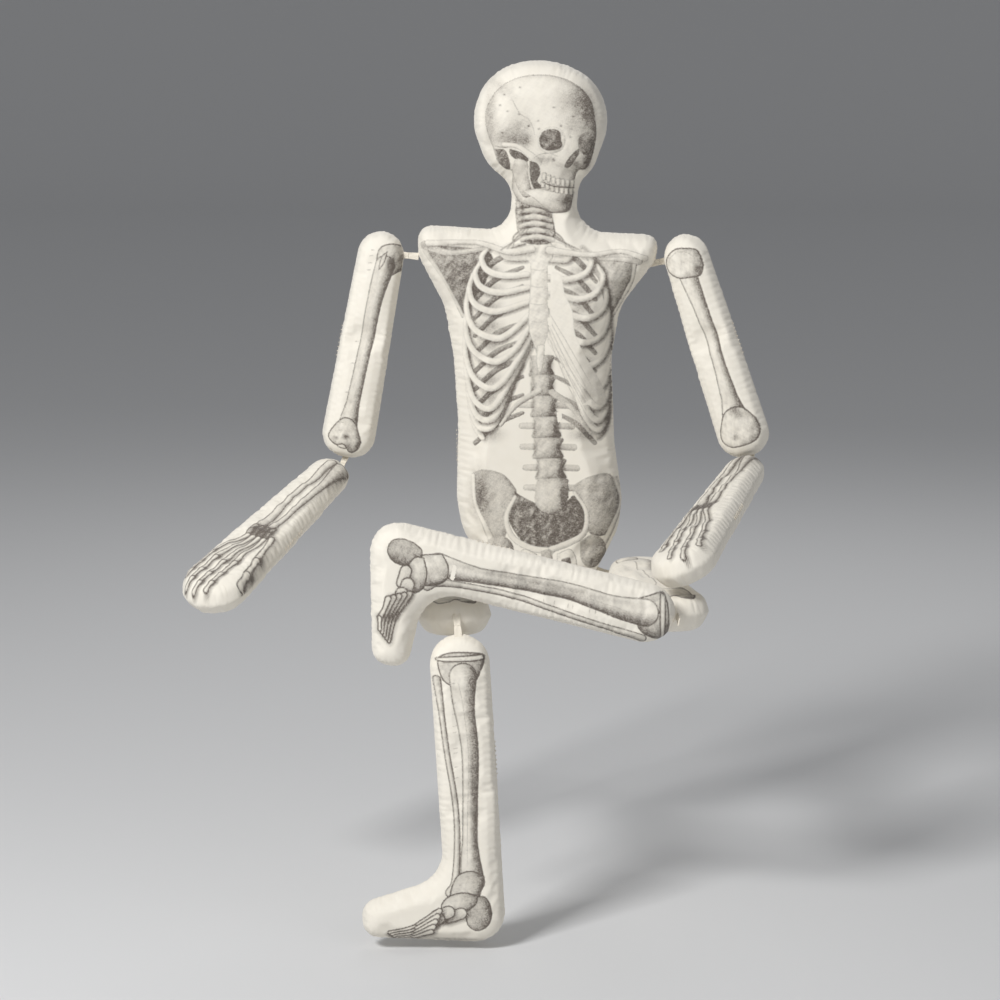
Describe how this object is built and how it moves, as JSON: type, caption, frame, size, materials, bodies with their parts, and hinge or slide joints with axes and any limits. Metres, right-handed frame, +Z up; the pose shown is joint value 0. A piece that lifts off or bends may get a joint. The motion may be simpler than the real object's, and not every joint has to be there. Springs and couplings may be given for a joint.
{
  "type": "stuffed skeleton doll",
  "caption": "Life-size stuffed cloth skeleton doll that sits with its legs crossed, its limb cushions hung on short cloth tapes.",
  "frame": {"origin": "on the flat patch under the trunk that the doll sits on, at its seam", "axes": "+Z up along the trunk, -Y the way the doll faces, +X to the doll's left"},
  "size_m": [0.7959, 0.449, 1.1279],
  "materials": {
    "printed_cloth": "ivory plain-weave cotton, printed in grey-brown",
    "plain_cloth": "ivory plain-weave cotton",
    "stuffing": "polyester fibre",
    "tape": "ivory woven cotton tape",
    "thread": "ivory cotton thread"
  },
  "bodies": {
    "torso": {"torso_back_panel": "plain_cloth", "torso_closing_stitches": "thread", "torso_front_panel": "printed_cloth", "torso_stuffing": "stuffing"},
    "left_elbow_tape": {"left_elbow_tape": "tape"},
    "left_forearm": {"left_forearm_back_panel": "plain_cloth", "left_forearm_closing_stitches": "thread", "left_forearm_front_panel": "printed_cloth", "left_forearm_stuffing": "stuffing"},
    "left_hip_tape": {"left_hip_tape": "tape"},
    "left_knee_tape": {"left_knee_tape": "tape"},
    "left_shin": {"left_shin_back_panel": "plain_cloth", "left_shin_closing_stitches": "thread", "left_shin_front_panel": "printed_cloth", "left_shin_stuffing": "stuffing"},
    "left_shoulder_tape": {"left_shoulder_tape": "tape"},
    "left_thigh": {"left_thigh_back_panel": "plain_cloth", "left_thigh_closing_stitches": "thread", "left_thigh_front_panel": "printed_cloth", "left_thigh_stuffing": "stuffing"},
    "left_upper_arm": {"left_upper_arm_back_panel": "plain_cloth", "left_upper_arm_closing_stitches": "thread", "left_upper_arm_front_panel": "printed_cloth", "left_upper_arm_stuffing": "stuffing"},
    "right_elbow_tape": {"right_elbow_tape": "tape"},
    "right_forearm": {"right_forearm_back_panel": "plain_cloth", "right_forearm_closing_stitches": "thread", "right_forearm_front_panel": "printed_cloth", "right_forearm_stuffing": "stuffing"},
    "right_hip_tape": {"right_hip_tape": "tape"},
    "right_knee_tape": {"right_knee_tape": "tape"},
    "right_shin": {"right_shin_back_panel": "plain_cloth", "right_shin_closing_stitches": "thread", "right_shin_front_panel": "printed_cloth", "right_shin_stuffing": "stuffing"},
    "right_shoulder_tape": {"right_shoulder_tape": "tape"},
    "right_thigh": {"right_thigh_back_panel": "plain_cloth", "right_thigh_closing_stitches": "thread", "right_thigh_front_panel": "printed_cloth", "right_thigh_stuffing": "stuffing"},
    "right_upper_arm": {"right_upper_arm_back_panel": "plain_cloth", "right_upper_arm_closing_stitches": "thread", "right_upper_arm_front_panel": "printed_cloth", "right_upper_arm_stuffing": "stuffing"}
  },
  "joints": [
    {"name": "right_shoulder_raise", "type": "hinge", "parent": "torso", "child": "right_shoulder_tape", "pos_m": [-0.18823, 0, 0.46929], "axis": [0, 1, 0], "range_deg": [-8, 55]},
    {"name": "right_shoulder_swing", "type": "hinge", "parent": "right_shoulder_tape", "child": "right_upper_arm", "pos_m": [-0.19022, 0.0001, 0.46945], "axis": [-1, 0, 0], "range_deg": [-45, 110]},
    {"name": "right_elbow_bend", "type": "hinge", "parent": "right_upper_arm", "child": "right_elbow_tape", "pos_m": [-0.28095, 0.00382, 0.18279], "axis": [-0.8623, 0.4812, 0.158], "range_deg": [-56, 12]},
    {"name": "right_elbow_twist", "type": "hinge", "parent": "right_elbow_tape", "child": "right_forearm", "pos_m": [-0.28409, 0.00032, 0.17632], "axis": [-0.392, -0.438, -0.809], "range_deg": [-50, 50]},
    {"name": "right_hip_spread", "type": "hinge", "parent": "torso", "child": "right_hip_tape", "pos_m": [-0.09286, 0, 0.02724], "axis": [0, 0, -1], "range_deg": [-8, 2]},
    {"name": "right_hip_lower", "type": "hinge", "parent": "right_hip_tape", "child": "right_thigh", "pos_m": [-0.10214, -0.00253, 0.02452], "axis": [1, 0, 0], "range_deg": [0, 85]},
    {"name": "right_knee_straighten", "type": "hinge", "parent": "right_thigh", "child": "right_knee_tape", "pos_m": [-0.11831, -0.35657, 0.02452], "axis": [-1, 0, 0], "range_deg": [-5, 88]},
    {"name": "right_knee_twist", "type": "hinge", "parent": "right_knee_tape", "child": "right_shin", "pos_m": [-0.1173, -0.36509, 0.01613], "axis": [0.084, -0.7101, -0.6991], "range_deg": [-40, 55]},
    {"name": "left_shoulder_raise", "type": "hinge", "parent": "torso", "child": "left_shoulder_tape", "pos_m": [0.15663, 0, 0.46051], "axis": [0, -1, 0], "range_deg": [-2, 25]},
    {"name": "left_shoulder_swing", "type": "hinge", "parent": "left_shoulder_tape", "child": "left_upper_arm", "pos_m": [0.15857, -0.00034, 0.46086], "axis": [-1, 0, 0], "range_deg": [0, 110]},
    {"name": "left_elbow_bend", "type": "hinge", "parent": "left_upper_arm", "child": "left_elbow_tape", "pos_m": [0.2846, -0.0427, 0.19117], "axis": [-0.845, 0.427, -0.322], "range_deg": [0, 4]},
    {"name": "left_elbow_turn", "type": "hinge", "parent": "left_elbow_tape", "child": "left_forearm", "pos_m": [0.28442, -0.04775, 0.18496], "axis": [0, 0, 1], "range_deg": [-3, 80]},
    {"name": "left_hip_spread", "type": "hinge", "parent": "torso", "child": "left_hip_tape", "pos_m": [0.07745, 0, 0.02702], "axis": [0, 0, 1], "range_deg": [-4, 2]},
    {"name": "left_hip_lower", "type": "hinge", "parent": "left_hip_tape", "child": "left_thigh", "pos_m": [0.0868, -0.00252, 0.0245], "axis": [1, 0, 0], "range_deg": [0, 4]},
    {"name": "left_knee_straighten", "type": "hinge", "parent": "left_thigh", "child": "left_knee_tape", "pos_m": [0.16628, -0.35499, 0.02994], "axis": [0, 0, 1], "range_deg": [0, 80]},
    {"name": "left_knee_twist", "type": "hinge", "parent": "left_knee_tape", "child": "left_shin", "pos_m": [0.16628, -0.37599, 0.02994], "axis": [0, -1, 0], "range_deg": [-16, 3]}
  ]
}
